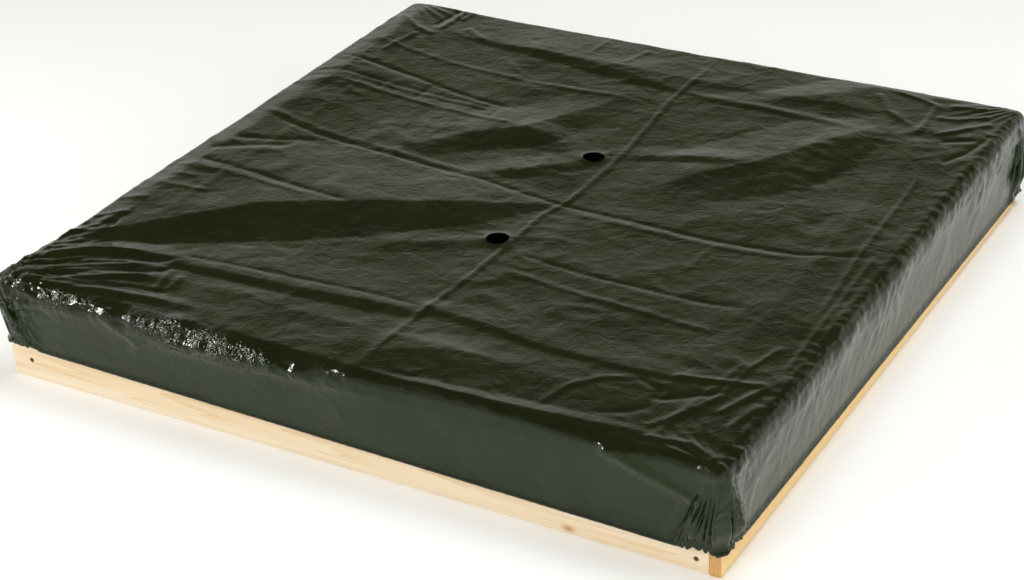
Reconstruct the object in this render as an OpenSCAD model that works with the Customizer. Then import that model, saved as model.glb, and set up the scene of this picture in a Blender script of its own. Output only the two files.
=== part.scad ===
// Square wooden sandbox with four seat boards and a fitted film cover.
// Four identical side boards run round the box like a pinwheel: each one covers the end of the
// board before it and butts against the board after it. The seat boards above meet in mitres.
// Origin at the middle of the base, +Z up, front at -Y. Millimetres.

/* [Frame] */
// Outer length of each side of the frame
frame_side = 1200; // [900:10:1500]
// Thickness of the side boards
board_t = 18; // [16:1:22]
// Height of the side boards
board_h = 150; // [130:5:200]
// Radius of the rounded edges of every board
edge_r = 2.5; // [1:0.5:3]
// Side of the square posts inside the corners
post_side = 38; // [34:1:45]

/* [Seats] */
// Width of the seat boards
seat_w = 110; // [80:5:140]
// Thickness of the seat boards
seat_t = 18; // [16:1:22]
// Gap between two seat boards at a mitre
mitre_gap = 1; // [0.5:0.5:3]

/* [Screws] */
// Diameter of the screw shanks
screw_d = 4; // [3.5:0.5:5]
// Diameter of the screw heads
head_d = 8; // [7:0.5:9]
// Length of the screws through the side boards
board_screw_l = 40; // [35:5:50]
// Length of the screws through the seats
seat_screw_l = 30; // [25:1:30]
// How far the heads are sunk below the wood
head_sink = 1; // [0.5:0.5:1.5]
// Height of the lowest screw in a side board
low_screw_z = 20; // [15:1:30]
// Height difference between the screws that cross inside a post
screw_stagger = 12; // [10:1:14]

/* [Cover] */
// Thickness of the cover film
film_t = 1; // [0.8:0.2:2]
// Gap between the side boards and the film
film_gap = 1; // [0.6:0.2:1.6]
// Height of the hem above the ground, at the middle of the box
hem_z = 41; // [35:1:60]
// How much lower the hem hangs at the right than at the left
hem_drop_x = 22; // [0:1:24]
// How much lower the hem hangs at the back than at the front
hem_drop_y = 15; // [0:1:16]
// Radius of the rolled hem
hem_r = 3.5; // [3:0.5:5]
// Diameter of the elastic cord in the hem
elastic_d = 3; // [2:0.5:4]
// Diameter of the two drain holes
drain_d = 36; // [20:2:50]
// Distance between the two drain holes
drain_pitch = 320; // [200:10:500]
// Distance of the drain holes to the right of the middle
drain_x = 20; // [-40:1:40]
// Distance of the pair of drain holes behind the middle
drain_y = -4; // [-40:1:40]

/* [Hidden] */
$fn = 48;

half = frame_side / 2;
seat_top = board_h + seat_t;
post_c = half - board_t - post_side / 2; // from the middle of the box to a post's middle
cut = 1;                                 // how far a cutting tool runs past a face
fit = 0.1;                               // play round a screw, on its radius

// Screw heights at the end of a side board that covers its neighbour, and at the end that butts.
cover_end_z = [low_screw_z + screw_stagger, board_h - low_screw_z];
butt_end_z = [low_screw_z, board_h - low_screw_z - screw_stagger];

head_h = (head_d - screw_d) / 2; // a 90 degree countersink
tip_l = 5;
recess_d = 3.4;
recess_h = 1.6;

post_screw = 9;          // from a post's middle to the seat screws in it, along x and y
edge_screw_x = half / 3; // from the middle of a side to the screws in its top edge

film_in = half + film_gap;       // from the middle to the inside of the skirt
film_in_r = 5;
film_lift = 0.6;                 // from the seats to the film over them
hem_in = film_gap + hem_r + 0.5; // from the side boards to the middle of the hem
hem_corner_r = 8;
hem_tilt = [-atan(hem_drop_y / frame_side), atan(hem_drop_x / frame_side), 0];
elastic_fit = 0.15;

pine = "#f0d9ae";
pine_warm = "#e3b271";
steel = "#8d8a80";
film_green = "#2f3a2a";
elastic_black = "#1c1f1b";

// Rectangle with rounded corners, centred
module round_rect(size, r) {
    square([size.x - 2 * r, size.y], center = true);
    square([size.x, size.y - 2 * r], center = true);
    for (x = [-1, 1], y = [-1, 1])
        translate([x * (size.x / 2 - r), y * (size.y / 2 - r)])
            circle(r);
}

// Block centred on x and y that stands on z = 0, with its long edges and its upright edges rounded
module plank(size) {
    intersection() {
        translate([0, 0, size.z / 2])
            rotate([90, 0, 90])
                linear_extrude(size.x, center = true)
                    round_rect([size.y, size.z], edge_r);
        linear_extrude(size.z)
            round_rect([size.x, size.y], edge_r);
    }
}

// Countersunk screw that points down, with its head's top at z = 0
module screw(length) {
    difference() {
        union() {
            translate([0, 0, -head_h])
                cylinder(h = head_h, d1 = screw_d, d2 = head_d);
            translate([0, 0, tip_l - length])
                cylinder(h = length - tip_l - head_h, d = screw_d);
            translate([0, 0, -length])
                cylinder(h = tip_l, d1 = screw_d / 4, d2 = screw_d);
        }
        translate([0, 0, -recess_h])
            cylinder(h = recess_h + cut, d = recess_d, $fn = 6);
    }
}

// The hole for that screw, from above the wood to past the screw's tip
module screw_hole(length) {
    translate([0, 0, -length - fit])
        cylinder(h = length, d = screw_d + 2 * fit);
    translate([0, 0, -head_h - fit])
        cylinder(h = head_h + fit, d1 = screw_d, d2 = head_d + 2 * fit);
    cylinder(h = head_sink + cut, d = head_d + 2 * fit);
}

// Puts its children where the screws of the front side board go, pointing into the box
module at_cover_end()
    for (z = cover_end_z)
        translate([-post_c, -half + head_sink, z])
            rotate([90, 0, 0])
                children();

module at_butt_end()
    for (z = butt_end_z)
        translate([post_c, -half + head_sink, z])
            rotate([90, 0, 0])
                children();

// Puts its children where the screws of the front seat go, pointing down
module at_post_tops()
    for (side = [-1, 1])
        translate([side * (post_c - post_screw), -post_c - post_screw, seat_top - head_sink])
            children();

module at_board_top()
    for (side = [-1, 1])
        translate([side * edge_screw_x, -half + board_t / 2, seat_top - head_sink])
            children();

// The parts of the front side. The other three sides are the same, turned by 90 degrees.
module side_board(colour)
    color(colour)
        difference() {
            translate([-board_t / 2, -half + board_t / 2, 0])
                plank([frame_side - board_t, board_t, board_h]);
            at_cover_end() screw_hole(board_screw_l);
            at_butt_end() screw_hole(board_screw_l);
            at_board_top() screw_hole(seat_screw_l);
        }

module corner_post()
    color(pine)
        difference() {
            translate([-post_c, -post_c, 0])
                plank([post_side, post_side, board_h]);
            at_cover_end() screw_hole(board_screw_l);
            rotate(-90)
                at_butt_end() screw_hole(board_screw_l);
            for (turn = [0, -90])
                rotate(turn)
                    at_post_tops() screw_hole(seat_screw_l);
        }

module seat_board()
    color(pine)
        difference() {
            translate([0, -half + seat_w / 2, board_h])
                plank([frame_side, seat_w, seat_t]);
            for (side = [0, 1])
                mirror([side, 0, 0])
                    mitre();
            at_post_tops() screw_hole(seat_screw_l);
            at_board_top() screw_hole(seat_screw_l);
        }

// What the mitre takes off the right end of the front seat board
module mitre()
    translate([half, -half, board_h - cut])
        linear_extrude(seat_t + 2 * cut)
            rotate(135)
                translate([-seat_w, mitre_gap / 2 - 2 * seat_w])
                    square([3 * seat_w, 2 * seat_w]);

module board_screws()
    color(steel) {
        at_cover_end() screw(board_screw_l);
        at_butt_end() screw(board_screw_l);
    }

module seat_screws()
    color(steel) {
        at_post_tops() screw(seat_screw_l);
        at_board_top() screw(seat_screw_l);
    }

// Puts its children in the tilted plane of the hem
module at_hem()
    translate([0, 0, hem_z])
        rotate(hem_tilt)
            children();

// Closed loop of round section that follows the hem
module hem_loop(r) {
    reach = half + hem_in;
    straight = 2 * (reach - hem_corner_r);
    for (turn = [0:90:270])
        rotate(turn) {
            translate([0, -reach, 0])
                rotate([0, 90, 0])
                    cylinder(h = straight, r = r, center = true);
            translate([reach - hem_corner_r, -reach + hem_corner_r, 0])
                rotate(-90)
                    rotate_extrude(angle = 90)
                        translate([hem_corner_r, 0])
                            circle(r);
        }
}

// The film: flat top, four skirts down to the hem, and the roll that holds the elastic
module cover_sheet() {
    top = seat_top + film_lift + film_t;
    color(film_green)
        difference() {
            union() {
                difference() {
                    linear_extrude(top)
                        round_rect([2, 2] * (film_in + film_t), film_in_r + film_t);
                    translate([0, 0, -cut])
                        linear_extrude(top - film_t + cut)
                            round_rect([2, 2] * film_in, film_in_r);
                    at_hem()
                        translate([-frame_side, -frame_side, -frame_side])
                            cube([2, 2, 1] * frame_side);
                }
                at_hem() hem_loop(hem_r);
            }
            at_hem() hem_loop(elastic_d / 2 + elastic_fit);
            for (side = [-1, 1])
                translate([drain_x, drain_y + side * drain_pitch / 2, seat_top])
                    cylinder(h = 2 * film_t + film_lift + cut, d = drain_d);
        }
}

module hem_elastic()
    color(elastic_black)
        at_hem() hem_loop(elastic_d / 2);

side_board(pine);  // front_board
rotate(90) side_board(pine_warm);  // right_board
rotate(180) side_board(pine);  // back_board
rotate(270) side_board(pine_warm);  // left_board
corner_post();  // front_left_post
rotate(90) corner_post();  // front_right_post
rotate(180) corner_post();  // back_right_post
rotate(270) corner_post();  // back_left_post
seat_board();  // front_seat
rotate(90) seat_board();  // right_seat
rotate(180) seat_board();  // back_seat
rotate(270) seat_board();  // left_seat
board_screws();  // front_board_screws
rotate(90) board_screws();  // right_board_screws
rotate(180) board_screws();  // back_board_screws
rotate(270) board_screws();  // left_board_screws
seat_screws();  // front_seat_screws
rotate(90) seat_screws();  // right_seat_screws
rotate(180) seat_screws();  // back_seat_screws
rotate(270) seat_screws();  // left_seat_screws
cover_sheet();
hem_elastic();
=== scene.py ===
"""Looks of a square wooden sandbox under a fitted cover of glossy dark green film."""
import math

import bmesh
import bpy
import numpy as np
from mathutils import Matrix, Vector, noise


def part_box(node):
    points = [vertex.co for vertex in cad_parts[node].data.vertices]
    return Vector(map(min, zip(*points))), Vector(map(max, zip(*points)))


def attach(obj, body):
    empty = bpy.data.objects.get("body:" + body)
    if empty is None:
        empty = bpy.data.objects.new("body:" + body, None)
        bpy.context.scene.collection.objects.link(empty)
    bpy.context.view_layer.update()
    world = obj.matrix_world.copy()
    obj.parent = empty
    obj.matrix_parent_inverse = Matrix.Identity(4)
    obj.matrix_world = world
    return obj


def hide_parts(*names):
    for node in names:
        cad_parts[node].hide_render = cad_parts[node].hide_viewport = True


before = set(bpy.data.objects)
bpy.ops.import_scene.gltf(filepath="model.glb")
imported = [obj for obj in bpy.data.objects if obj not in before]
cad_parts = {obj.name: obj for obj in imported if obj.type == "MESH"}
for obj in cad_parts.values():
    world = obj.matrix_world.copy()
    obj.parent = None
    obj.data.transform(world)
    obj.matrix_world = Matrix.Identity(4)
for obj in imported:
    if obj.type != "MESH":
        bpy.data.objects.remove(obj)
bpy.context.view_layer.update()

# ---------------------------------------------------------------- sizes, in metres
SEAT_LOW, SEAT_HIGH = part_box("front_seat")
HALF = SEAT_HIGH.x                         # half of the box's outer side
SEAT_TOP = SEAT_HIGH.z
RING = HALF - (SEAT_HIGH.y - SEAT_LOW.y)   # from the middle to the seats' inner edges

HEM_MID = 0.041                            # the hem's plane, as in the CAD model
HEM_SLOPE = (-0.022 / 1.2, -0.015 / 1.2)   # its rise along X and along Y
HEM_OUT = 0.0045                           # from the boards to the middle of the hem
HEM_R = 0.0030                             # radius of the film rolled round the elastic
ELASTIC_R = 0.0014

SKIRT = 0.130                              # flat film from the top edge to the hem
HEM_TURN = 0.020                           # flat film that is rolled round the elastic
FLAT = 2 * (HALF + SKIRT + HEM_TURN)       # side of the flat square the film is cut from

FILM_FREE = 0.179                          # near this height the film leaves the boards
HEM_WRAP = 1.8 * math.pi                   # how far round the elastic the hem is rolled

FILM_REST = 0.0022                         # from the seats up to the film over them
FILM_LEAST = 0.0012                        # and the least that its folds leave of that
SAG = 0.010                                # how far the film sags over the sand
DOME = 0.0030                              # how far the film stands up along the left-hand seat
TOP_LIMIT = 0.179                          # the crumples flatten out above this height
TOP_SLACK = 0.004                          # and rise at most this far over it
FRONT_RIGHT, FRONT_LEFT, BACK_RIGHT = 1, 2, 3   # numbers of the corners; the back left one is 4
DRAWN_TOP, DRAWN_HEM = 0.020, 0.068        # how far from a corner the film is drawn in, top and hem
GATHERS = 3.4                              # lobes of gathered film on each side of a corner
GATHER_OUT = 0.013                         # how far they stand out above the hem
HEM_LIP = 0.0040                           # how far the roll of the hem stands out from the skirt
PUFF_TAUT, PUFF_LOOSE = 0.0030, 0.0135     # how far the film stands off the boards below the shoulder
PUFF_AT = 0.22                             # the share of the skirt at which it stands off most
PUFF_TOP = 0.75                            # and how much of that is left at the very top
ROUND_TAUT, ROUND_LOOSE = 0.008, 0.023     # radius of the film's bend over the box's edge

HOLE_R = 0.018
HOLE_RIM = 0.0020                          # how far the film stands up round a hole
HOLES = [(0.020, -0.004 - 0.160), (0.020, -0.004 + 0.160)]


# ---------------------------------------------------------------- small helpers
def smooth(a, b, x):
    """0 below a, 1 above b, and a smooth step between them."""
    t = np.clip((x - a) / (b - a), 0, 1)
    return t * t * (3 - 2 * t)


def wave(x, y, size, seed):
    """Smooth noise from -1 to 1 with features of the given size, on arrays of points."""
    z = 13.7 * seed
    points = zip((x / size).ravel(), (y / size).ravel())
    flat = np.array([noise.noise((p, q, z)) for p, q in points])
    return flat.reshape(np.shape(x))


def between(low, high, share):
    return low + (high - low) * share


def pleat(phase):
    """Triangle wave from 0 to 1 with sharp tops, one wave per unit of phase."""
    return 1 - np.abs(2 * (phase - np.floor(phase)) - 1)


def mesh_object(name, points, faces, material):
    mesh = bpy.data.meshes.new(name)
    mesh.from_pydata([tuple(p) for p in points], [], faces)
    mesh.materials.append(material)
    mesh.shade_smooth()
    piece = bpy.data.objects.new(name, mesh)
    bpy.context.scene.collection.objects.link(piece)
    return piece


# ---------------------------------------------------------------- node helpers
class Nodes:
    """Short ways to add shader nodes to one material."""

    def __init__(self, tree):
        self.tree = tree

    def put(self, socket, value):
        if isinstance(value, bpy.types.NodeSocket):
            self.tree.links.new(value, socket)
        else:
            socket.default_value = value

    def math(self, operation, a, b=0.0, clamp=False):
        node = self.tree.nodes.new("ShaderNodeMath")
        node.operation, node.use_clamp = operation, clamp
        self.put(node.inputs[0], a)
        self.put(node.inputs[1], b)
        return node.outputs[0]

    def vector(self, operation, a, b=(0, 0, 0)):
        node = self.tree.nodes.new("ShaderNodeVectorMath")
        node.operation = operation
        self.put(node.inputs[0], a)
        self.put(node.inputs[1], b)
        gives_number = operation in ("DOT_PRODUCT", "LENGTH")
        return node.outputs["Value" if gives_number else "Vector"]

    def split(self, vector):
        """The X, Y and Z of a vector."""
        node = self.tree.nodes.new("ShaderNodeSeparateXYZ")
        self.put(node.inputs[0], vector)
        return node.outputs["X"], node.outputs["Y"], node.outputs["Z"]

    def mask(self, value, start, slope):
        """0 up to start, and from there up to 1 with the given slope."""
        return self.math("MULTIPLY", self.math("SUBTRACT", value, start, True), slope, True)

    def place(self, scale=(1, 1, 1), offset=(0, 0, 0)):
        """Object coordinates, stretched and moved."""
        where = self.tree.nodes.new("ShaderNodeTexCoord").outputs["Object"]
        node = self.tree.nodes.new("ShaderNodeMapping")
        self.put(node.inputs["Vector"], where)
        node.inputs["Scale"].default_value = scale
        node.inputs["Location"].default_value = offset
        return node.outputs[0]

    def noise(self, where, scale, detail=2.0, rough=0.5, twist=0.0):
        node = self.tree.nodes.new("ShaderNodeTexNoise")
        self.put(node.inputs["Vector"], where)
        node.inputs["Scale"].default_value = scale
        node.inputs["Detail"].default_value = detail
        node.inputs["Roughness"].default_value = rough
        node.inputs["Distortion"].default_value = twist
        return node.outputs["Fac"]

    def ramp(self, fac, *stops):
        """Colours by factor: stops are (position, (r, g, b))."""
        node = self.tree.nodes.new("ShaderNodeValToRGB")
        self.put(node.inputs[0], fac)
        marks = node.color_ramp.elements
        while len(marks) < len(stops):
            marks.new(0.5)
        for mark, (at, colour) in zip(marks, stops):
            mark.position = at
            mark.color = (*colour, 1)
        return node.outputs[0]

    def mix(self, fac, a, b):
        node = self.tree.nodes.new("ShaderNodeMix")
        node.data_type = "RGBA"
        self.put(node.inputs[0], fac)
        self.put(node.inputs[6], a if isinstance(a, bpy.types.NodeSocket) else (*a, 1))
        self.put(node.inputs[7], b if isinstance(b, bpy.types.NodeSocket) else (*b, 1))
        return node.outputs[2]

    def bump(self, height, strength, distance, normal=None):
        node = self.tree.nodes.new("ShaderNodeBump")
        node.inputs["Strength"].default_value = strength
        node.inputs["Distance"].default_value = distance
        self.put(node.inputs["Height"], height)
        if normal is not None:
            self.put(node.inputs["Normal"], normal)
        return node.outputs[0]


def new_material(name):
    material = bpy.data.materials.new(name)
    material.use_nodes = True
    tree = material.node_tree
    shader = tree.nodes["Principled BSDF"]
    return material, Nodes(tree), shader


# ---------------------------------------------------------------- materials
def on_wood_and_lit(n, where, to_left):
    """1 on the skirts, from the hem up to the uneven line where the film leaves the boards; there the
    film is painted a lighter green, partly for the pale wood under it and partly as painted light for
    the brighter light on the sides.
    """
    x, y, z = n.split(where)
    edge = n.math("MAXIMUM", n.math("ABSOLUTE", x), n.math("ABSOLUTE", y))
    on_skirt = n.mask(edge, HALF - 0.008, 70)
    slack = n.math("MULTIPLY", n.noise(n.place((1, 1, 0.2)), 13, 2), 0.030)
    slack = n.math("ADD", slack, n.math("MULTIPLY", to_left, 0.013))
    free = n.math("SUBTRACT", FILM_FREE, slack)
    below = n.math("MULTIPLY", n.math("SUBTRACT", free, z), 250, True)
    hem = n.vector("DOT_PRODUCT", where, (-HEM_SLOPE[0], -HEM_SLOPE[1], 1))
    above_hem = n.mask(hem, HEM_MID + 0.001, 300)
    return n.math("MULTIPLY", n.math("MULTIPLY", on_skirt, below), above_hem)


def film_crushed(n, where, to_left):
    """1 on the loose shoulder at the front left and on the corner beside it."""
    x, y, z = n.split(where)
    in_front = n.mask(n.math("MULTIPLY", y, -1), HALF - 0.012, 80)
    high_up = n.mask(z, 0.120, 40)
    at_corner = n.mask(n.math("MULTIPLY", x, -1), 0.555, 40)
    either = n.math("MAXIMUM", high_up, at_corner)
    return n.math("MULTIPLY", in_front, n.math("MULTIPLY", to_left, either))


def film_material():
    """Glossy film, dark olive over the sand, and a lighter green on the skirts over the wood: partly
    the pale wood under it, partly painted light.
    """
    material, n, shader = new_material("film_green")
    where = n.place()
    to_left = n.mask(n.math("MULTIPLY", n.split(where)[0], -1), -0.10, 4)
    cloudy = n.noise(where, 11, 4)
    over_sand = n.ramp(cloudy, (0.3, (0.0070, 0.0095, 0.0030)), (0.7, (0.0105, 0.0135, 0.0045)))
    # painted light: the lighter green on the skirts partly stands in for the brighter light on the
    # box's sides; the rest is the pale wood under the film
    over_wood_and_lit = n.ramp(cloudy, (0.35, (0.0075, 0.0142, 0.0037)), (0.65, (0.0136, 0.0222, 0.0060)))
    colour = n.mix(on_wood_and_lit(n, where, to_left), over_sand, over_wood_and_lit)
    n.put(shader.inputs["Base Color"], colour)
    shader.inputs["IOR"].default_value = 1.375
    shader.inputs["Specular Tint"].default_value = (0.97, 1.0, 0.90, 1)

    zone = film_crushed(n, where, to_left)
    dull = n.math("ADD", n.math("MULTIPLY", n.noise(where, 30, 3), 0.14), 0.12)
    n.put(shader.inputs["Roughness"], n.math("SUBTRACT", dull, n.math("MULTIPLY", zone, 0.10)))
    patchy = n.mask(n.noise(where, 16, 2), 0.42, 8)
    crushed = n.math("MULTIPLY", n.noise(where, 150, 2, 0.6, 1.0), n.math("MULTIPLY", zone, patchy))
    normal = n.bump(n.noise(where, 48, 2, 0.5, 0.8), 0.22, 0.004)
    normal = n.bump(crushed, 0.8, 0.004, normal)
    grain = n.noise(where, 300, 2)
    n.put(shader.inputs["Normal"], n.bump(grain, 0.05, 0.0006, normal))
    return material


def pine_material(name, along, warmth_and_painted_light, knots=()):
    """Planed pine with its grain along X, Y or Z (0, 1 or 2). The warmth runs from pale to orange: the
    wood's own tone, and on the right-hand board and seat also painted warm light.
    """
    material, n, shader = new_material(name)
    across = [18.0] * 3
    across[along] = 0.5
    where = n.place(tuple(across), (3.1 * warmth_and_painted_light, 1.7, 0.4))
    rings = n.noise(where, 1.6, 3, 0.5, 0.35)
    lines = n.math("FRACT", n.math("MULTIPLY", rings, 9.0))
    fine = n.noise(n.place(tuple(s * 14 for s in across)), 1.0, 2)
    pale = n.ramp(lines, (0.0, (0.85, 0.75, 0.60)), (0.75, (0.81, 0.68, 0.50)),
                  (1.0, (0.72, 0.52, 0.32)))
    warm = (0.92, 0.80 - 0.16 * warmth_and_painted_light, 0.62 - 0.36 * warmth_and_painted_light)
    streak = n.ramp(n.noise(where, 1.5, 2, 0.6), (0.42, warm), (0.62, (0.84, 0.56, 0.26)))
    colour = n.mix(0.28 + 0.65 * warmth_and_painted_light, pale, streak)
    colour = n.mix(n.math("MULTIPLY", fine, 0.25), colour, (0.62, 0.42, 0.22))
    facing = n.split(n.tree.nodes.new("ShaderNodeNewGeometry").outputs["Normal"])[along]
    end = n.math("GREATER_THAN", n.math("ABSOLUTE", facing), 0.8)
    circles = n.math("FRACT", n.math("MULTIPLY", n.noise(n.place((1, 1, 1)), 24, 1, 0.4, 0.3), 16))
    end_grain = n.ramp(circles, (0.0, (0.54, 0.28, 0.09)), (1.0, (0.67, 0.39, 0.15)))
    colour = n.mix(end, colour, end_grain)
    for spot, size in knots:
        stretch = [1.0] * 3
        stretch[along] = 0.55
        here = n.place(tuple(stretch), tuple(-c * s for c, s in zip(spot, stretch)))
        far = n.math("DIVIDE", n.vector("LENGTH", here), size)
        ring = n.ramp(far, (0.0, (0.34, 0.15, 0.05)), (0.5, (0.52, 0.27, 0.10)),
                      (1.0, (0.76, 0.50, 0.24)))
        colour = n.mix(n.math("SUBTRACT", 1.0, n.math("SMOOTH_MIN", far, 1.0), True), colour, ring)
    n.put(shader.inputs["Base Color"], colour)
    shader.inputs["Roughness"].default_value = 0.62
    n.put(shader.inputs["Normal"], n.bump(n.math("ADD", lines, fine), 0.25, 0.0006))
    return material


def screw_material():
    material, n, shader = new_material("screw_brown")
    shader.inputs["Metallic"].default_value = 0.7
    rust = n.ramp(n.noise(n.place(), 900, 2), (0.3, (0.12, 0.06, 0.03)), (0.7, (0.22, 0.13, 0.07)))
    n.put(shader.inputs["Base Color"], rust)
    shader.inputs["Roughness"].default_value = 0.5
    return material


def elastic_material():
    material, n, shader = new_material("elastic_black")
    weave = n.tree.nodes.new("ShaderNodeTexWave")
    n.put(weave.inputs["Vector"], n.place())
    weave.inputs["Scale"].default_value = 400
    threads = n.ramp(weave.outputs["Fac"], (0.0, (0.01, 0.01, 0.01)), (1.0, (0.05, 0.05, 0.05)))
    n.put(shader.inputs["Base Color"], threads)
    shader.inputs["Roughness"].default_value = 0.85
    n.put(shader.inputs["Normal"], n.bump(weave.outputs["Fac"], 0.5, 0.0004))
    return material


# ---------------------------------------------------------------- the film's folds
# A fold is a line of points on the top, seen from above. Along it the film stands up by the given
# heights, and it comes down over the given widths to the left and to the right of the line.
FOLDS = [
    # the long wedge that runs from the front-left corner to the middle
    dict(at=[(-0.545, -0.436), (-0.50, -0.378), (-0.37, -0.237), (-0.22, -0.150), (-0.06, -0.070),
             (0.035, -0.018)], high=[0.0020, 0.0070, 0.0130, 0.0115, 0.0065, 0.0010],
         left=[0.05, 0.16, 0.24, 0.22, 0.12, 0.04], right=[0.020, 0.062, 0.115, 0.105, 0.062, 0.020]),
    # the ridge from the back-right corner towards the middle
    dict(at=[(0.41, 0.435), (0.365, 0.365), (0.31, 0.28), (0.27, 0.225), (0.20, 0.16), (0.12, 0.05)],
         high=[0.002, 0.0072, 0.0082, 0.0072, 0.0046, 0.000], left=[0.03, 0.08, 0.11, 0.11, 0.10, 0.05],
         right=[0.04, 0.10, 0.11, 0.11, 0.10, 0.05]),
    dict(at=[(0.065, 0.185), (0.12, 0.205), (0.20, 0.222), (0.28, 0.232)],
         high=[0.001, 0.0025, 0.0025, 0.001], left=[0.04] * 4, right=[0.02] * 4),
    # the light band at the back
    dict(at=[(0.07, 0.428), (0.20, 0.462), (0.28, 0.515), (0.37, 0.595)],
         high=[0.0003, 0.0042, 0.0056, 0.0050], left=[0.012, 0.045, 0.062, 0.070],
         right=[0.20, 0.35, 0.45, 0.50]),
    # the step in front of the back seat
    dict(at=[(-0.42, 0.492), (-0.28, 0.488), (-0.16, 0.482), (-0.06, 0.462), (0.05, 0.440)],
         high=[0.0010, 0.0032, 0.0040, 0.0034, 0.0008], left=[0.10] * 5,
         right=[0.010, 0.022, 0.030, 0.026, 0.010]),
    dict(at=[(-0.555, 0.55), (-0.545, 0.30), (-0.555, 0.00), (-0.550, -0.30)],
         high=[0.0030, 0.0026, 0.0022, 0.0024], left=[0.05] * 4, right=[0.045] * 4),
    dict(at=[(0.06, 0.438), (0.20, 0.432), (0.31, 0.425), (0.375, 0.412)],
         high=[0.0006, 0.0018, 0.0016, 0.0004], left=[0.015] * 4, right=[0.014] * 4),
    # soft ridges left of the back hole
    dict(at=[(-0.04, 0.38), (-0.10, 0.27), (-0.13, 0.205), (-0.21, 0.145), (-0.29, 0.05)],
         high=[0.001, 0.0045, 0.0065, 0.0045, 0.0005], left=[0.05, 0.06, 0.07, 0.06, 0.05],
         right=[0.06, 0.08, 0.10, 0.09, 0.05]),
    dict(at=[(-0.18, 0.20), (-0.09, 0.198), (-0.02, 0.170)], high=[0.0005, 0.0030, 0.0005],
         left=[0.04] * 3, right=[0.05] * 3),
    dict(at=[(0.00, 0.125), (-0.07, 0.062), (-0.14, 0.020)], high=[0.0022, 0.0030, 0.0005],
         left=[0.030] * 3, right=[0.045] * 3),
    dict(at=[(0.01, -0.165), (-0.07, -0.215), (-0.16, -0.265)], high=[0.0018, 0.0022, 0.0005],
         left=[0.03] * 3, right=[0.03] * 3),
    # the front crease, wide and deep on the left and thin on the right
    dict(at=[(-0.455, -0.452), (-0.36, -0.447), (-0.19, -0.436), (-0.06, -0.421), (0.028, -0.418)],
         high=[0.0020, 0.0032, 0.0036, 0.0034, 0.0020], left=[0.03, 0.08, 0.12, 0.10, 0.05],
         right=[0.010, 0.018, 0.022, 0.028, 0.020]),
    dict(at=[(0.040, -0.398), (0.12, -0.404), (0.24, -0.423), (0.36, -0.425), (0.45, -0.422)],
         high=[0.0022, 0.0022, 0.0020, 0.0016, 0.0012], left=[0.03, 0.05, 0.06, 0.06, 0.03],
         right=[0.016, 0.015, 0.012, 0.012, 0.010]),
    # the dark hollow near the middle of the front edge
    dict(at=[(0.03, -0.545), (0.12, -0.500), (0.24, -0.478)], high=[0.0005, 0.0035, 0.0005],
         left=[0.05] * 3, right=[0.05, 0.075, 0.05]),
    # the ridge along the right half of the front edge
    dict(at=[(0.06, -0.592), (0.20, -0.588), (0.33, -0.578), (0.48, -0.562)],
         high=[0.0010, 0.0036, 0.0036, 0.0008], left=[0.012, 0.018, 0.020, 0.012],
         right=[0.02, 0.03, 0.03, 0.02]),
    # the front-left corner: glossy ridges that fan out from the corner
    dict(at=[(-0.590, -0.545), (-0.53, -0.490), (-0.47, -0.455), (-0.40, -0.440)],
         high=[0.0032, 0.0050, 0.0042, 0.0010], left=[0.016, 0.024, 0.034, 0.03],
         right=[0.010, 0.013, 0.014, 0.012]),
    dict(at=[(-0.580, -0.560), (-0.52, -0.515), (-0.45, -0.482), (-0.38, -0.472)],
         high=[0.0030, 0.0042, 0.0030, 0.0005], left=[0.009, 0.013, 0.018, 0.02],
         right=[0.008, 0.010, 0.012, 0.012]),
    dict(at=[(-0.570, -0.578), (-0.50, -0.545), (-0.43, -0.515), (-0.34, -0.500)],
         high=[0.0030, 0.0042, 0.0034, 0.0005], left=[0.011, 0.016, 0.022, 0.02],
         right=[0.009, 0.012, 0.014, 0.014]),
    dict(at=[(-0.592, -0.500), (-0.555, -0.455), (-0.53, -0.40)], high=[0.0030, 0.0038, 0.0010],
         left=[0.018] * 3, right=[0.012] * 3),
    dict(at=[(-0.594, -0.455), (-0.560, -0.400), (-0.548, -0.35)], high=[0.0026, 0.0032, 0.0010],
         left=[0.016] * 3, right=[0.011] * 3),
    dict(at=[(-0.545, -0.592), (-0.44, -0.570), (-0.34, -0.556), (-0.26, -0.552)],
         high=[0.0025, 0.0036, 0.0028, 0.0005], left=[0.016] * 4, right=[0.014] * 4),
]

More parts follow.
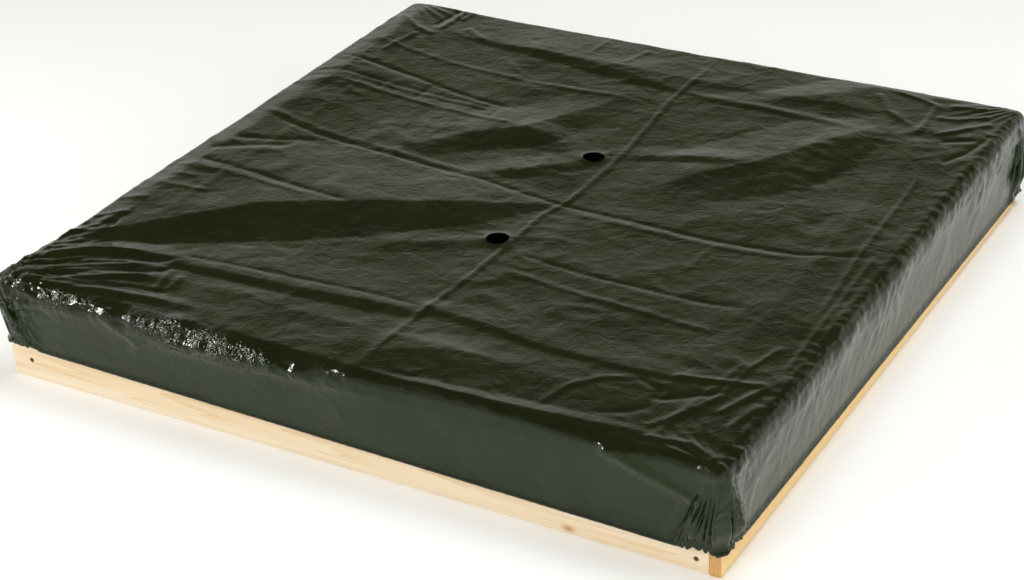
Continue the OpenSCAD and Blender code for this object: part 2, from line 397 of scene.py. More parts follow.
# A crease is where the film lay folded in its packet, or was pinched: a thin line, up or down.
MIDDLE_CREASE = [(0.036, -0.60), (0.036, -0.40), (0.042, -0.29), (0.044, -0.15), (0.041, -0.06),
                 (0.056, 0.00), (0.059, 0.10), (0.058, 0.20), (0.042, 0.40), (0.049, 0.60)]
CROSS_CREASE = [(-0.60, 0.058), (-0.45, 0.030), (-0.31, 0.018), (-0.11, 0.004), (0.05, -0.016),
                (0.21, -0.024), (0.33, -0.030), (0.46, -0.023), (0.60, 0.014)]
CREASES = [
    dict(at=MIDDLE_CREASE, high=0.0018, width=0.0035),
    dict(at=CROSS_CREASE, high=-0.0014, width=0.0040),
    dict(at=[(-0.60, 0.075), (-0.45, 0.046), (-0.31, 0.034), (-0.11, 0.019)], high=0.0009,
         width=0.0050),
    dict(at=[(0.07, -0.036), (0.21, -0.040), (0.33, -0.045), (0.46, -0.038)], high=0.0009,
         width=0.0050),
    dict(at=[(-0.40, -0.428), (-0.22, -0.412), (-0.06, -0.399), (0.04, -0.398)], high=-0.0012,
         width=0.004),
    dict(at=[(0.44, -0.422), (0.51, -0.408), (0.575, -0.392)], high=0.0022, width=0.005),
    # pinched lines at the front-left corner
    dict(at=[(-0.575, -0.525), (-0.51, -0.470), (-0.455, -0.455)], high=0.0040, width=0.0055),
    dict(at=[(-0.570, -0.560), (-0.50, -0.500), (-0.435, -0.465), (-0.38, -0.445)], high=-0.0034,
         width=0.0045),
    dict(at=[(-0.550, -0.565), (-0.49, -0.520), (-0.42, -0.482)], high=0.0034, width=0.0055),
    dict(at=[(-0.535, -0.572), (-0.47, -0.530), (-0.405, -0.497), (-0.37, -0.470)], high=-0.0028,
         width=0.0040),
    dict(at=[(-0.515, -0.578), (-0.44, -0.532), (-0.385, -0.502)], high=0.0030, width=0.0050),
    dict(at=[(-0.480, -0.580), (-0.40, -0.545), (-0.33, -0.535)], high=-0.0022, width=0.0045),
    dict(at=[(-0.370, -0.470), (-0.355, -0.540)], high=0.0018, width=0.0045),
    dict(at=[(-0.345, -0.480), (-0.338, -0.525)], high=0.0014, width=0.0045),
    dict(at=[(-0.590, -0.385), (-0.540, -0.355)], high=0.0026, width=0.0050),
    dict(at=[(-0.590, -0.415), (-0.535, -0.390)], high=-0.0026, width=0.0060),
    dict(at=[(-0.592, -0.445), (-0.530, -0.412)], high=0.0030, width=0.0050),
    dict(at=[(-0.590, -0.480), (-0.540, -0.440)], high=-0.0030, width=0.0060),
    dict(at=[(-0.585, -0.505), (-0.545, -0.478)], high=0.0032, width=0.0045),
    dict(at=[(-0.590, -0.320), (-0.545, -0.300)], high=0.0018, width=0.0060),
    # the line that runs down the right-hand seat
    dict(at=[(0.465, 0.43), (0.490, 0.40), (0.515, 0.34), (0.535, 0.27), (0.540, 0.15), (0.545, 0.00),
             (0.56, -0.20)], high=0.0014, width=0.0045),
    dict(at=[(0.565, 0.02), (0.570, -0.20), (0.575, -0.37)], high=0.0012, width=0.004),
    # packet lines across the back-left quarter
    dict(at=[(-0.59, 0.325), (-0.42, 0.305), (-0.28, 0.272), (-0.18, 0.262)], high=-0.0016,
         width=0.005),
    dict(at=[(-0.58, 0.415), (-0.40, 0.385), (-0.22, 0.370), (-0.02, 0.382)], high=0.0010, width=0.005),
    dict(at=[(-0.56, 0.262), (-0.33, 0.258), (-0.20, 0.250)], high=-0.0009, width=0.004),
    dict(at=[(-0.54, 0.232), (-0.38, 0.222), (-0.20, 0.208), (-0.14, 0.205)], high=0.0012,
         width=0.0045),
    dict(at=[(-0.50, 0.244), (-0.30, 0.238), (-0.20, 0.236)], high=-0.0008, width=0.0035),
    dict(at=[(-0.370, 0.290), (-0.372, 0.225)], high=-0.0010, width=0.004),
    dict(at=[(-0.450, 0.270), (-0.452, 0.230)], high=-0.0008, width=0.004),
    dict(at=[(-0.212, 0.265), (-0.214, 0.210)], high=-0.0008, width=0.004),
    dict(at=[(-0.510, 0.470), (-0.520, 0.42), (-0.528, 0.365)], high=0.0016, width=0.004),
    dict(at=[(-0.57, -0.145), (-0.44, -0.150), (-0.32, -0.163), (-0.24, -0.170)], high=-0.0015,
         width=0.005),
    dict(at=[(-0.57, -0.165), (-0.44, -0.168), (-0.32, -0.178)], high=0.0009, width=0.005),
    dict(at=[(-0.57, -0.105), (-0.50, -0.060), (-0.45, -0.025)], high=-0.0014, width=0.008),
    dict(at=[(-0.56, -0.055), (-0.50, -0.030), (-0.42, 0.010)], high=-0.0010, width=0.007),
    dict(at=[(-0.58, -0.178), (-0.50, -0.172)], high=0.0014, width=0.006),
    dict(at=[(-0.57, -0.212), (-0.52, -0.205)], high=0.0014, width=0.006),
    dict(at=[(-0.57, -0.250), (-0.47, -0.240)], high=0.0013, width=0.006),
    # packet lines across the front-right quarter
    dict(at=[(0.07, -0.192), (0.20, -0.208), (0.32, -0.212), (0.46, -0.208)], high=-0.0013,
         width=0.005),
    dict(at=[(0.07, -0.245), (0.22, -0.265), (0.36, -0.277), (0.45, -0.285)], high=0.0012, width=0.006),
    dict(at=[(0.33, -0.045), (0.325, -0.14)], high=0.0007, width=0.004),
    # short pleats at the back-left corner
    dict(at=[(-0.478, 0.595), (-0.482, 0.500)], high=0.0022, width=0.0040),
    dict(at=[(-0.464, 0.595), (-0.466, 0.550)], high=0.0018, width=0.004),
    dict(at=[(-0.490, 0.595), (-0.500, 0.510)], high=-0.0020, width=0.004),
    dict(at=[(-0.58, 0.53), (-0.53, 0.49), (-0.48, 0.475)], high=0.0020, width=0.006),
    dict(at=[(-0.44, 0.525), (-0.38, 0.492)], high=0.0016, width=0.006),
    dict(at=[(-0.17, 0.58), (-0.175, 0.51)], high=0.0012, width=0.005),
    dict(at=[(-0.08, 0.57), (-0.10, 0.50)], high=0.0012, width=0.005),
    # the back-right corner: short wrinkles that point at the corner
    dict(at=[(0.585, 0.48), (0.57, 0.40), (0.545, 0.345)], high=-0.0022, width=0.006),
    dict(at=[(0.575, 0.52), (0.53, 0.47), (0.50, 0.44)], high=0.0020, width=0.006),
    dict(at=[(0.565, 0.545), (0.52, 0.515), (0.48, 0.505)], high=0.0020, width=0.006),
    dict(at=[(0.55, 0.57), (0.49, 0.555)], high=0.0018, width=0.006),
    dict(at=[(0.57, 0.45), (0.52, 0.42)], high=-0.0018, width=0.006),
    dict(at=[(0.38, 0.575), (0.43, 0.565), (0.47, 0.55), (0.475, 0.43)], high=0.0018, width=0.005),
    dict(at=[(0.36, 0.56), (0.40, 0.50), (0.46, 0.46)], high=0.0014, width=0.006),
    # the front-right corner: lines that draw together towards it
    dict(at=[(0.31, -0.565), (0.325, -0.505), (0.355, -0.465), (0.40, -0.442)], high=0.0016,
         width=0.005),
    dict(at=[(0.40, -0.442), (0.445, -0.462), (0.447, -0.51), (0.42, -0.535), (0.38, -0.55)],
         high=-0.0015, width=0.005),
    dict(at=[(0.448, -0.485), (0.49, -0.458), (0.53, -0.430)], high=-0.0020, width=0.005),
    dict(at=[(0.46, -0.560), (0.50, -0.500), (0.525, -0.440), (0.53, -0.36), (0.55, -0.28)],
         high=0.0018, width=0.005),
    dict(at=[(0.49, -0.575), (0.49, -0.52), (0.51, -0.42), (0.52, -0.34)], high=0.0016, width=0.005),
    dict(at=[(0.572, -0.395), (0.555, -0.44), (0.54, -0.485)], high=0.0024, width=0.005),
    dict(at=[(0.585, -0.56), (0.565, -0.51), (0.58, -0.44)], high=0.0020, width=0.006),
    dict(at=[(0.59, -0.585), (0.54, -0.565), (0.47, -0.572)], high=0.0020, width=0.006),
]

# Patches of small sharp crumples, in the flat film: middle (two values), reach along each side
# (two values), and strength.
CRUMPLED = [
    (-0.365, -0.606, 0.075, 0.012, 1.0), (-0.265, -0.588, 0.025, 0.010, 0.8),
    (-0.215, -0.630, 0.085, 0.010, 1.2), (-0.060, -0.624, 0.100, 0.010, 0.6),
    (0.030, -0.604, 0.022, 0.009, 0.9), (0.435, -0.608, 0.022, 0.009, 0.9),
    (-0.565, -0.612, 0.050, 0.034, 1.1), (-0.590, -0.670, 0.050, 0.060, 1.2),
    (0.588, -0.602, 0.026, 0.014, 1.1), (0.604, -0.565, 0.012, 0.030, 0.8),
    (-0.665, -0.600, 0.060, 0.055, 1.1), (0.600, -0.700, 0.060, 0.030, 0.35),
    (0.685, -0.610, 0.045, 0.055, 0.75), (0.598, -0.250, 0.020, 0.300, 0.35),
    (0.598, 0.300, 0.016, 0.250, 0.30),
]

# Ribs that fan out from a corner: which corner, ribs in a quarter turn, reach, height and seed.
FANS = [
    ((-1, -1), 13, 0.12, 0.0056, 51), ((1, -1), 9, 0.10, 0.0034, 53),
    ((1, 1), 7, 0.12, 0.0024, 55), ((-1, 1), 7, 0.12, 0.0026, 57),
]

# Creases and gathers that run down the skirts, in the flat film.
SKIRT_LINES = [
    dict(at=[(-0.41, -0.610), (-0.360, -0.637), (-0.330, -0.658)], high=0.0026, width=0.005),
    dict(at=[(-0.322, -0.640), (-0.340, -0.655), (-0.352, -0.672)], high=0.0022, width=0.005),
    dict(at=[(0.420, -0.606), (0.500, -0.632), (0.590, -0.655)], high=0.0062, width=0.0090),
    dict(at=[(0.25, -0.66), (0.32, -0.668), (0.36, -0.69)], high=0.0008, width=0.004),
    dict(at=[(0.575, -0.635), (0.556, -0.680), (0.530, -0.725)], high=-0.0060, width=0.0035),
    dict(at=[(0.592, -0.650), (0.580, -0.690), (0.566, -0.727)], high=-0.0060, width=0.0035),
    dict(at=[(0.560, -0.695), (0.548, -0.728)], high=-0.0050, width=0.0030),
    dict(at=[(0.608, -0.665), (0.605, -0.700), (0.600, -0.728)], high=-0.0050, width=0.0035),
    dict(at=[(0.540, -0.660), (0.520, -0.700), (0.500, -0.725)], high=-0.0022, width=0.0035),
    dict(at=[(0.640, -0.640), (0.680, -0.685), (0.726, -0.728)], high=-0.0050, width=0.0035),
    dict(at=[(0.655, -0.612), (0.690, -0.606), (0.727, -0.603)], high=-0.0048, width=0.0032),
    dict(at=[(0.650, -0.592), (0.690, -0.582), (0.727, -0.574)], high=-0.0044, width=0.0032),
    dict(at=[(0.680, -0.560), (0.727, -0.545)], high=-0.0030, width=0.0030),
    dict(at=[(0.612, 0.560), (0.650, 0.578), (0.700, 0.592)], high=0.0040, width=0.0050),
    dict(at=[(0.655, 0.600), (0.727, 0.606)], high=-0.0045, width=0.0035),
    dict(at=[(0.670, 0.575), (0.727, 0.580)], high=-0.0040, width=0.0035),
    dict(at=[(-0.600, -0.640), (-0.590, -0.690), (-0.580, -0.725)], high=-0.0040, width=0.0040),
    dict(at=[(-0.570, -0.625), (-0.575, -0.670), (-0.560, -0.715)], high=-0.0036, width=0.0040),
    dict(at=[(-0.545, -0.640), (-0.552, -0.680), (-0.535, -0.720)], high=0.0030, width=0.0040),
    dict(at=[(-0.02, -0.64), (0.01, -0.67), (0.02, -0.70)], high=0.0010, width=0.004),
]


def along_line(line, x, y):
    """Signed distance from a bent line (left is positive), and the share of its length passed."""
    at = np.array(line, float)
    steps = np.hypot(*np.diff(at, axis=0).T)
    start = np.concatenate([[0], np.cumsum(steps)])
    nearest, side, share = np.full(x.shape, 1e9), np.zeros(x.shape), np.zeros(x.shape)
    for (ax, ay), (bx, by), long, before in zip(at[:-1], at[1:], steps, start):
        dx, dy = (bx - ax) / long, (by - ay) / long
        t = np.clip((x - ax) * dx + (y - ay) * dy, 0, long)
        far = np.hypot(x - ax - t * dx, y - ay - t * dy)
        turn = np.sign(dx * (y - ay) - dy * (x - ax))
        closer = far < nearest
        nearest = np.where(closer, far, nearest)
        side = np.where(closer, turn, side)
        share = np.where(closer, (before + t) / start[-1], share)
    return nearest * side, share


def marks_along(line):
    """Shares of a bent line's length at which its points lie."""
    steps = np.hypot(*np.diff(np.array(line, float), axis=0).T)
    return np.concatenate([[0], np.cumsum(steps)]) / steps.sum()


def fold_height(fold, x, y):
    """A ridge with straight flanks, as high and as wide at each of its points as the fold says."""
    far, share = along_line(fold["at"], x, y)
    marks = marks_along(fold["at"])
    high, left, right = (np.interp(share, marks, fold[key]) for key in ("high", "left", "right"))
    reach = np.where(far > 0, left, right)
    return high * np.clip(1 - np.abs(far) / reach, 0, 1)


def crease_height(crease, x, y):
    """A thin rounded line that fades out at both ends."""
    far, share = along_line(crease["at"], x, y)
    ends = smooth(0, 0.10, share) * smooth(0, 0.10, 1 - share)
    return crease["high"] * ends * np.exp(-np.abs(far / crease["width"]) ** 1.5)


def crumples(x, y):
    """Small sharp wrinkles: crests along the noise's zero lines, bent, patchy, of three sizes."""
    bend_x, bend_y = 0.022 * wave(x, y, 0.07, 11), 0.022 * wave(x, y, 0.07, 12)
    a, b = x + bend_x, y + bend_y
    patch = 0.45 + 0.55 * smooth(-0.25, 0.35, wave(x, y, 0.16, 20))
    total = 0.0020 * (1 - np.abs(wave(a, b, 0.070, 21)))
    total += 0.0011 * (1 - np.abs(wave(a, b * 1.3, 0.036, 22)))
    total += 0.0003 * (1 - np.abs(wave(a * 1.2, b, 0.020, 23)))
    return total * patch


# ---------------------------------------------------------------- the film
def grid_lines(marks, step, zones):
    """Rising positions that hit every mark, a step apart, and closer in each zone (from, to, step)."""
    marks = sorted(set(marks) | {end for zone in zones for end in zone[:2]})
    lines = [marks[0]]
    for a, b in zip(marks[:-1], marks[1:]):
        middle = (a + b) / 2
        here = min([step] + [fine for lo, hi, fine in zones if lo <= middle <= hi])
        count = max(1, math.ceil((b - a) / here - 0.01))
        lines += [a + (b - a) * k / count for k in range(1, count + 1)]
    return np.array(lines)


def film_grid():
    """The flat film as a grid, with a square round each hole and close lines near the edges."""
    step, fine, hem = 0.0046, 0.0030, 0.0022   # on the flats, near the edges and in the hem
    ends = (-FLAT / 2, -HALF - SKIRT, -HALF, HALF, HALF + SKIRT, FLAT / 2)
    zones = [(s * a, s * b, c) for s in (1, -1) for a, b, c in
             ((HALF - 0.07, HALF + 0.05, fine), (HALF + SKIRT, FLAT / 2, hem))]
    zones = [(min(a, b), max(a, b), c) for a, b, c in zones]
    holes_x = [HOLES[0][0] - HOLE_R, HOLES[0][0] + HOLE_R]
    holes_y = [hy + s * HOLE_R for _, hy in HOLES for s in (-1, 1)]
    across = grid_lines([*ends, *holes_x], step, zones)
    along = grid_lines([*ends, *holes_y], step, zones)
    return np.meshgrid(across, along, indexing="ij")


def round_holes(u, v):
    """Moves the points near a hole so that the square round it becomes a circle."""
    gone = np.zeros(u.shape, bool)
    for hx, hy in HOLES:
        dx, dy = u - hx, v - hy
        square = np.maximum(np.abs(dx), np.abs(dy))
        true = np.maximum(np.hypot(dx, dy), 1e-9)
        keep = smooth(HOLE_R, HOLE_R * 2.2, square)
        factor = 1 + (1 - keep) * (square / true - 1)
        gone |= square < HOLE_R - 0.001
        u, v = hx + dx * factor, hy + dy * factor
    return u, v, gone


def hem_height(x, y):
    """Height of the tilted plane in which the hem lies."""
    return HEM_MID + HEM_SLOPE[0] * x + HEM_SLOPE[1] * y


def top_height(x, y):
    """Height of the film over the seats and the sand, with its folds and creases."""
    hollow_x, hollow_y = (np.clip(1 - (w / RING) ** 2, 0, 1) for w in (x, y))
    sag = SAG * (hollow_x * hollow_y) ** 0.7 * (1 + 0.3 * wave(x, y, 0.35, 1))
    height = SEAT_TOP + FILM_REST - sag
    height += DOME * smooth(-0.35, -0.56, x) * (1 - smooth(-0.555, -HALF, x))
    folds = sum(fold_height(fold, x, y) for fold in FOLDS)
    folds = folds + sum(crease_height(crease, x, y) for crease in CREASES)
    height += folds * (1 - 0.85 * smooth(HALF - 0.025, HALF, y))
    for hx, hy in HOLES:
        far = np.maximum(np.hypot(x - hx, y - hy) - HOLE_R, 0)
        height += HOLE_RIM * np.exp(-far / 0.006) * (1 + 0.5 * wave(x, y, 0.02, 30))
    on_seats = np.maximum(np.abs(x), np.abs(y)) > RING - 0.004
    return np.where(on_seats, np.maximum(height, SEAT_TOP + FILM_LEAST), height)


def looseness(x, y):
    """How loose the film is at the edge near a point: 1 is a soft bulging shoulder, 0 a taut one."""
    front = np.interp(x, [-0.60, -0.45, -0.10, 0.12, 0.25, 0.60], [0.55, 0.95, 0.90, 0.45, 0.25, 0.40])
    left = np.interp(y, [-0.60, -0.40, 0.60], [0.30, 0.35, 0.3])
    right = np.interp(y, [-0.60, -0.30, 0.40, 0.60], [0.55, 0.60, 0.55, 0.4])
    edge_x = np.where(x < 0, left, right)
    edge_y = np.where(y < 0, front, 0.35)
    near_x, near_y = HALF - np.abs(x), HALF - np.abs(y)
    lean = smooth(-0.02, 0.02, near_x - near_y)
    return edge_x * (1 - lean) + edge_y * lean


def gathers(flat_far, reach, depth, share, zone, corner, wall_u):
    """Lobes of gathered film beside the corners, with narrow gaps between them.

    Gives how far the lobes stand out from the skirt, and how far they lift the hem."""
    number = flat_far / np.maximum(depth + reach, 1e-6) * GATHERS
    uneven = 0.36 * np.sin(4.3 * number + 2.3 * corner + 1.1 * wall_u) * smooth(0, 0.5, number)
    uneven = uneven + 0.55 * (1 - share) * np.sin(3.1 * corner + 5.0 * wall_u + 1.7 * number)
    lobe = np.abs(np.cos(np.pi * (number + uneven))) ** 0.7
    fade = np.clip((GATHERS - number) / 1.2, 0, 1) * zone
    taller = np.where(corner == FRONT_LEFT, 0.35, np.where(corner == BACK_RIGHT, 0.55, 0.75))
    taller = taller * (1 + 0.45 * np.sin(2.7 * number + 1.9 * corner + 2.0 * wall_u))
    swell = smooth(0.10, 0.60, share) * (1 - 0.75 * smooth(0.72, 1, share))
    lifted = np.where(corner == FRONT_RIGHT, 0.0075, 0.0045)
    lift = lifted * fade * (1.5 - lobe) * smooth(0.6, 1, share)
    return GATHER_OUT * lobe * taller * fade * swell, lift


def round_edges(x, y, z, z_top, core, radius, on_top):
    """Rounds the film over the box's edges: first as seen from above, then over the shoulder.

    Gives the moved points, and the way out of the box at each of them."""
    side_u, side_v = np.where(x < 0, -1, 1), np.where(y < 0, -1, 1)
    px, py = np.abs(x) - core, np.abs(y) - core
    inside = radius - np.maximum(px, py)
    in_corner = (px > 0) & (py > 0)
    far = np.maximum(np.hypot(px, py), 1e-9)
    pull = np.where(in_corner, np.maximum(px, py) / far, 1)
    x = np.where(in_corner, side_u * (core + px * pull), x)
    y = np.where(in_corner, side_v * (core + py * pull), y)
    along_x = np.where(px > py, 1.0, 0.0)
    out_x = side_u * np.where(in_corner, px / far, along_x)
    out_y = side_v * np.where(in_corner, py / far, 1 - along_x)
    near_edge = np.maximum(radius - np.where(on_top, inside, 0), 0)
    near_top = np.maximum(radius - (z_top - z), 0)
    turn = radius / np.maximum(np.hypot(near_edge, near_top), 1e-9)
    turn = np.where((near_edge > 0) & (near_top > 0), np.minimum(turn, 1), 1)
    x = x - out_x * near_edge * (1 - turn)
    y = y - out_y * near_edge * (1 - turn)
    return x, y, z - near_top * (1 - turn), out_x, out_y


def film_shape(u, v):
    """Where the points of the flat film lie once the cover is on the box."""
    a, b = np.clip(u, -HALF, HALF), np.clip(v, -HALF, HALF)
    over_u, over_v = np.abs(u - a), np.abs(v - b)
    depth = np.maximum(over_u, over_v)
    side_u, side_v = np.where(u < 0, -1, 1), np.where(v < 0, -1, 1)
    corner = np.where(side_u > 0, 1, 2) + np.where(side_v > 0, 2, 0)
    on_top = depth < 1e-9
    wall_u = over_u >= over_v
    both = (over_u > 1e-9) & (over_v > 1e-9)
    share = np.clip(depth / SKIRT, 0, 1)
    loose = looseness(a, b)

    # near a corner the film is drawn in along the outline, and stands out in lobes
    reach = between(DRAWN_TOP, DRAWN_HEM, share)
    to_corner = HALF - np.where(wall_u, np.abs(v), np.abs(u))
    past_corner = depth - np.minimum(over_u, over_v)
    flat_far = np.where(both, past_corner, depth + np.maximum(to_corner, 0))
    zone = (flat_far < depth + reach) & ~on_top
    box_far = np.where(zone, flat_far * reach / (depth + reach), to_corner)
    stand, lift = gathers(flat_far, reach, depth, share, zone, corner, wall_u)

    # the skirts: out over the shoulder, down to the hem, and out again at its roll
    puff = between(PUFF_TAUT, PUFF_LOOSE, loose)
    rising = between(PUFF_TOP, 1, share / PUFF_AT)
    bulge = np.where(share < PUFF_AT, rising, (1 - share) / (1 - PUFF_AT))
    out = HEM_OUT * share + puff * bulge + stand + HEM_LIP * smooth(0.945, 1, share)
    to_edge = smooth(RING + 0.02, HALF, np.maximum(np.abs(a), np.abs(b)))
    z_top = top_height(a, b) + 0.0020 * loose * to_edge
    down = z_top + (hem_height(a, b) - z_top) * share + lift
    shift_u, shift_v = (PUFF_TOP * puff * smooth(HALF - 0.06, HALF, np.abs(w)) for w in (a, b))
    wall = HALF + out
    beside_u = HALF + shift_u * (1 - share) - box_far
    beside_v = HALF + shift_v * (1 - share) - box_far
    x = side_u * np.where(on_top, np.abs(u) + shift_u, np.where(wall_u, wall, beside_u))
    y = side_v * np.where(on_top, np.abs(v) + shift_v, np.where(wall_u, beside_v, wall))
    z = np.where(on_top, z_top, down)
    radius = between(ROUND_TAUT, ROUND_LOOSE, loose)
    core = HALF + np.where(on_top, PUFF_TOP * puff, out) - radius
    x, y, z, out_x, out_y = round_edges(x, y, z, z_top, core, radius, on_top)

    # the hem is rolled in round the elastic
    roll = np.clip((depth - SKIRT) / HEM_TURN, 0, 1) * HEM_WRAP
    x = x - out_x * HEM_R * (1 - np.cos(roll))
    y = y - out_y * HEM_R * (1 - np.cos(roll))
    z = z - HEM_R * np.sin(roll)
    return np.stack([x, y, z], -1)


def grid_faces(count_u, count_v, gone):
    number = np.arange(count_u * count_v).reshape(count_u, count_v)
    faces = np.stack([number[:-1, :-1], number[1:, :-1], number[1:, 1:], number[:-1, 1:]], -1)
    faces = faces[~(gone[:-1, :-1] | gone[1:, :-1] | gone[1:, 1:] | gone[:-1, 1:])]
    return faces.reshape(-1, 4).tolist()


def normals(points):
    """Unit normals of a grid of points."""
    cross = np.cross(np.gradient(points, axis=0), np.gradient(points, axis=1))
    return cross / np.maximum(np.linalg.norm(cross, axis=-1, keepdims=True), 1e-12)


def fan(x, y, corner, count, reach, high, seed):
    """Wrinkles that spread from a corner of the box like the ribs of a fan."""
    dx, dy = (corner[0] * HALF - x) * corner[0], (corner[1] * HALF - y) * corner[1]
    far = np.hypot(dx, dy)
    angle = np.arctan2(dy, dx) / (math.pi / 2)
    phase = angle * count + 0.6 * wave(x, y, 0.09, seed)
    rib = high * pleat(phase) * np.exp(-(far / reach) ** 2) * smooth(0.004, 0.035, far)
    return rib * (0.55 + 0.45 * wave(x, y, 0.05, seed + 1))


def film_detail(u, v):
    """How far the film's small wrinkles stand out of its surface."""
    outer = np.maximum(np.abs(u), np.abs(v)) - HALF
    skirt = smooth(-0.005, 0.015, outer)
    on_u = np.abs(u) > np.abs(v)
    along = np.where(on_u, v, u)
    a, b = np.clip(u, -HALF, HALF), np.clip(v, -HALF, HALF)

    # the skirts are smooth at the front and wrinkled up and down at the other sides
    upright = np.where(on_u, 1.5, np.where(v > 0, 1.2, 0.25))
    slant = along + 0.30 * outer
    streaks = 0.0022 * (1 - np.abs(wave(slant, outer + 2 * np.sign(u + v), 0.030, 41) * 1.3))
    streaks = streaks * smooth(-0.2, 0.5, wave(slant, outer, 0.09, 42)) * smooth(0.125, 0.02, outer)
    high = crumples(u, v) * (1 - 0.75 * skirt) + streaks * upright * skirt

    # the loose shoulder at the front left is crumpled all over, and most of all in a few patches
    edge = 0.018 + 0.010 * wave(along, along, 0.08, 45)
    band = 0.35 * np.exp(-((outer - edge) / 0.022) ** 2) * smooth(0.15, 0.85, looseness(a, b))
    for at_u, at_v, reach_u, reach_v, strength in CRUMPLED:
        band = band + strength * np.exp(-((u - at_u) / reach_u) ** 2 - ((v - at_v) / reach_v) ** 2)
    knots = 0.0042 * (1 - np.abs(wave(u * 0.7, v, 0.024, 43)) * 1.7)
    knots += 0.0036 * (1 - np.abs(wave(u, v * 0.6, 0.010, 44)) * 1.7)
    high += np.minimum(band, 1.2) * np.maximum(knots, -0.0015)
    for line in SKIRT_LINES:
        high += crease_height(line, u, v)
    high += 0.0014 * wave(along, outer, 0.007, 46) * np.exp(-((outer - SKIRT) / 0.012) ** 2)

    for corner, count, reach, tall, seed in FANS:
        high += fan(a, b, corner, count, reach, tall, seed) * (1 - skirt)
    return high * (1 - 0.6 * smooth(SKIRT - 0.02, SKIRT, outer))


def build_film(material):
    """The film: bent over the box, wrinkled along its normals, and flattened where it gets too high."""
    u, v, gone = round_holes(*film_grid())
    points = film_shape(u, v)
    points += normals(points) * film_detail(u, v)[..., None]
    over = np.maximum(points[..., 2] - TOP_LIMIT, 0)
    points[..., 2] += TOP_SLACK * np.tanh(over / TOP_SLACK) - over
    film = mesh_object("cover_film", points.reshape(-1, 3), grid_faces(*u.shape, gone), material)
    shape = bmesh.new()
    shape.from_mesh(film.data)
    bmesh.ops.delete(shape, geom=[p for p in shape.verts if not p.link_faces], context="VERTS")
    shape.to_mesh(film.data)
    shape.free()
    return film


def build_elastic(material):
    """The elastic cord: a closed loop that follows the inside of the hem."""
    edge, count, sides = HALF + SKIRT, 200, 8   # count points along each side of the box
    run, still = np.linspace(-edge, edge, count, endpoint=False), np.full(count, edge)
    u = np.concatenate([run, still, -run, -still])
    v = np.concatenate([-still, run, still, -run])
    ring = film_shape(u, v)
    along = np.roll(ring, -1, axis=0) - np.roll(ring, 1, axis=0)
    along /= np.linalg.norm(along, axis=1, keepdims=True)
    out = np.stack([along[:, 1], -along[:, 0], np.zeros(len(ring))], -1)
    out /= np.linalg.norm(out, axis=1, keepdims=True)
    up = np.cross(out, along)
    centre = ring - out * HEM_R
    turns = 2 * np.pi * np.arange(sides)[:, None] / sides
    round_it = out[:, None] * np.cos(turns) + up[:, None] * np.sin(turns)
    tube = centre[:, None] + ELASTIC_R * round_it
    number = np.arange(len(ring) * sides).reshape(-1, sides)
    after = np.roll(number, -1, axis=0)
    faces = np.stack([number, np.roll(number, -1, axis=1), np.roll(after, -1, axis=1), after], -1)
    return mesh_object("hem_elastic_cord", tube.reshape(-1, 3), faces.reshape(-1, 4).tolist(), material)


# ---------------------------------------------------------------- make everything
def dress_nodes():
    """Pine with its own grain on each board, seat and post, knots on the boards, and steel on the
    screws.
    """
    knot = 0.009
    knots = {
        "front": [((0.372, -HALF, 0.009), knot), ((-0.21, -HALF, 0.115), knot)],
        "right": [((HALF, 0.18, 0.10), knot), ((HALF, -0.33, 0.02), knot * 0.7)],
        "back": [((-0.30, HALF, 0.02), knot), ((0.22, HALF, 0.03), knot * 0.8)],
        "left": [((-HALF, 0.25, 0.025), knot), ((-HALF, -0.36, 0.07), knot)],
    }
    # painted light: the right-hand board and seat are made warm orange for the warm light that falls on
    # that side; the values for the other sides are the wood's own tone
    warmth_and_painted_light = {"front": 0.10, "right": 1.0, "back": 0.30, "left": 0.45}
    along = {"front": 0, "right": 1, "back": 0, "left": 1}
    steel = screw_material()
    post = pine_material("pine_post", 2, 0.40)
    for side in warmth_and_painted_light:
        board = pine_material(f"pine_{side}", along[side], warmth_and_painted_light[side], knots[side])
        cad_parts[f"{side}_board"].material_slots[0].material = board
        seat = pine_material(f"pine_seat_{side}", along[side], warmth_and_painted_light[side] * 0.7)
        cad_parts[f"{side}_seat"].material_slots[0].material = seat
        for group in ("board_screws", "seat_screws"):
            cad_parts[f"{side}_{group}"].material_slots[0].material = steel
    for corner in ("front_left", "front_right", "back_right", "back_left"):
        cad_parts[f"{corner}_post"].material_slots[0].material = post


def make_cover():
    film = build_film(film_material())
    elastic = build_elastic(elastic_material())
    rows = ((film, "cover_sheet", "cover_film"), (elastic, "hem_elastic", "elastic_cord"))
    for piece, node, slot in rows:
        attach(piece, "cover")
        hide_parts(node)


def make_floor():
    size = 60.0
    material, _, shader = new_material("studio_floor")
    shader.inputs["Base Color"].default_value = (0.965, 0.965, 0.96, 1)
    shader.inputs["Roughness"].default_value = 0.9
    corners = [(-size, -size, 0), (size, -size, 0), (size, size, 0), (-size, size, 0)]
    mesh_object("studio_floor", corners, [(0, 1, 2, 3)], material)


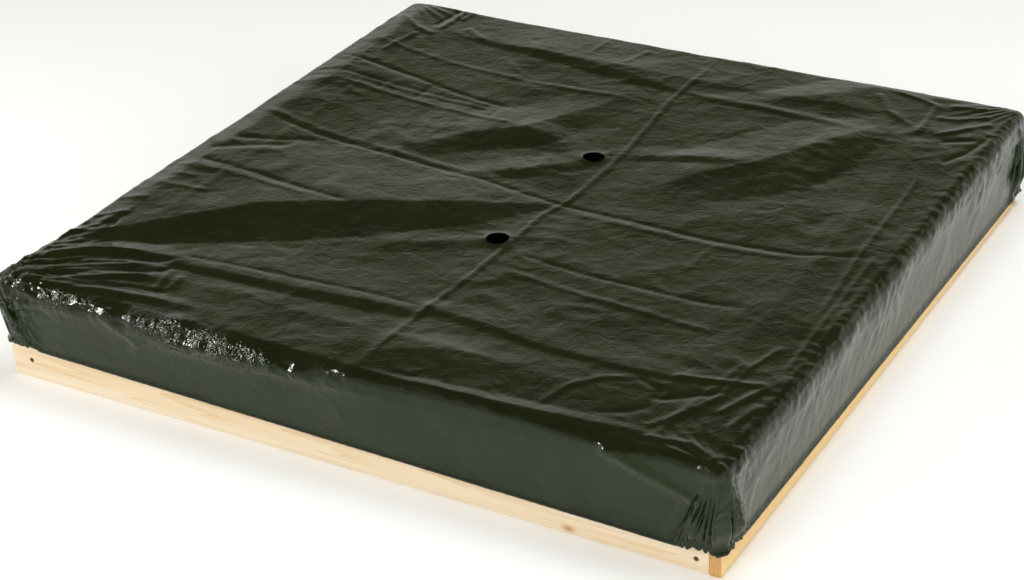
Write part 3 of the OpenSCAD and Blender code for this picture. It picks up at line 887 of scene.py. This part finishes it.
def area_light(name, at, aim, size, power, seen_in_gloss=True, lights_matt=True):
    lamp = bpy.data.lights.new(name, "AREA")
    lamp.shape, lamp.size, lamp.energy = "SQUARE", size, power
    light = bpy.data.objects.new(name, lamp)
    light.location = at
    light.rotation_euler = (Vector(aim) - Vector(at)).to_track_quat("-Z", "Y").to_euler()
    light.visible_glossy = seen_in_gloss
    light.visible_diffuse = lights_matt
    bpy.context.scene.collection.objects.link(light)


def light_studio():
    """A pale studio: bright low down all round, dim overhead, and soft lamps."""
    world = bpy.data.worlds.new("studio")
    bpy.context.scene.world = world
    world.use_nodes = True
    n = Nodes(world.node_tree)
    way = n.tree.nodes.new("ShaderNodeTexCoord").outputs["Generated"]
    glow = n.ramp(n.split(way)[2], (0.0, (0.80, 0.80, 0.78)), (0.28, (0.78, 0.78, 0.70)),
                  (0.46, (0.41, 0.40, 0.26)), (0.56, (0.06, 0.06, 0.04)), (1.0, (0.02, 0.02, 0.02)))
    n.put(n.tree.nodes["Background"].inputs["Color"], glow)
    area_light("softbox_left", (-2.9, -1.5, 1.55), (-0.2, -0.4, 0.1), 0.75, 42)
    area_light("sparkle_left", (-2.5, -1.9, 1.35), (-0.2, -0.6, 0.15), 0.55, 60, lights_matt=False)
    area_light("softbox_right", (3.4, 0.3, 1.5), (0.6, 0, 0.1), 2.2, 34, seen_in_gloss=False)
    area_light("softbox_front", (0.6, -3.4, 2.6), (0, 0, 0), 2.4, 67, seen_in_gloss=False)
    area_light("softbox_top", (0.8, 0.6, 4.0), (0, 0, 0), 3.0, 112, seen_in_gloss=False)


def make_camera():
    at, aim = Vector((1.587, -2.770, 1.771)), Vector((0.060, -0.195, 0.100))
    roll = math.radians(-2.6)
    lens = bpy.data.cameras.new("camera")
    lens.lens = 78.5
    lens.sensor_width = 36
    camera = bpy.data.objects.new("camera", lens)
    facing = (aim - at).to_track_quat("-Z", "Y").to_matrix() @ Matrix.Rotation(roll, 3, "Z")
    camera.location = at
    camera.rotation_euler = facing.to_euler()
    bpy.context.scene.collection.objects.link(camera)
    bpy.context.scene.camera = camera


make_camera()
light_studio()
make_floor()
dress_nodes()
make_cover()
bpy.context.scene.view_settings.view_transform = "Standard"
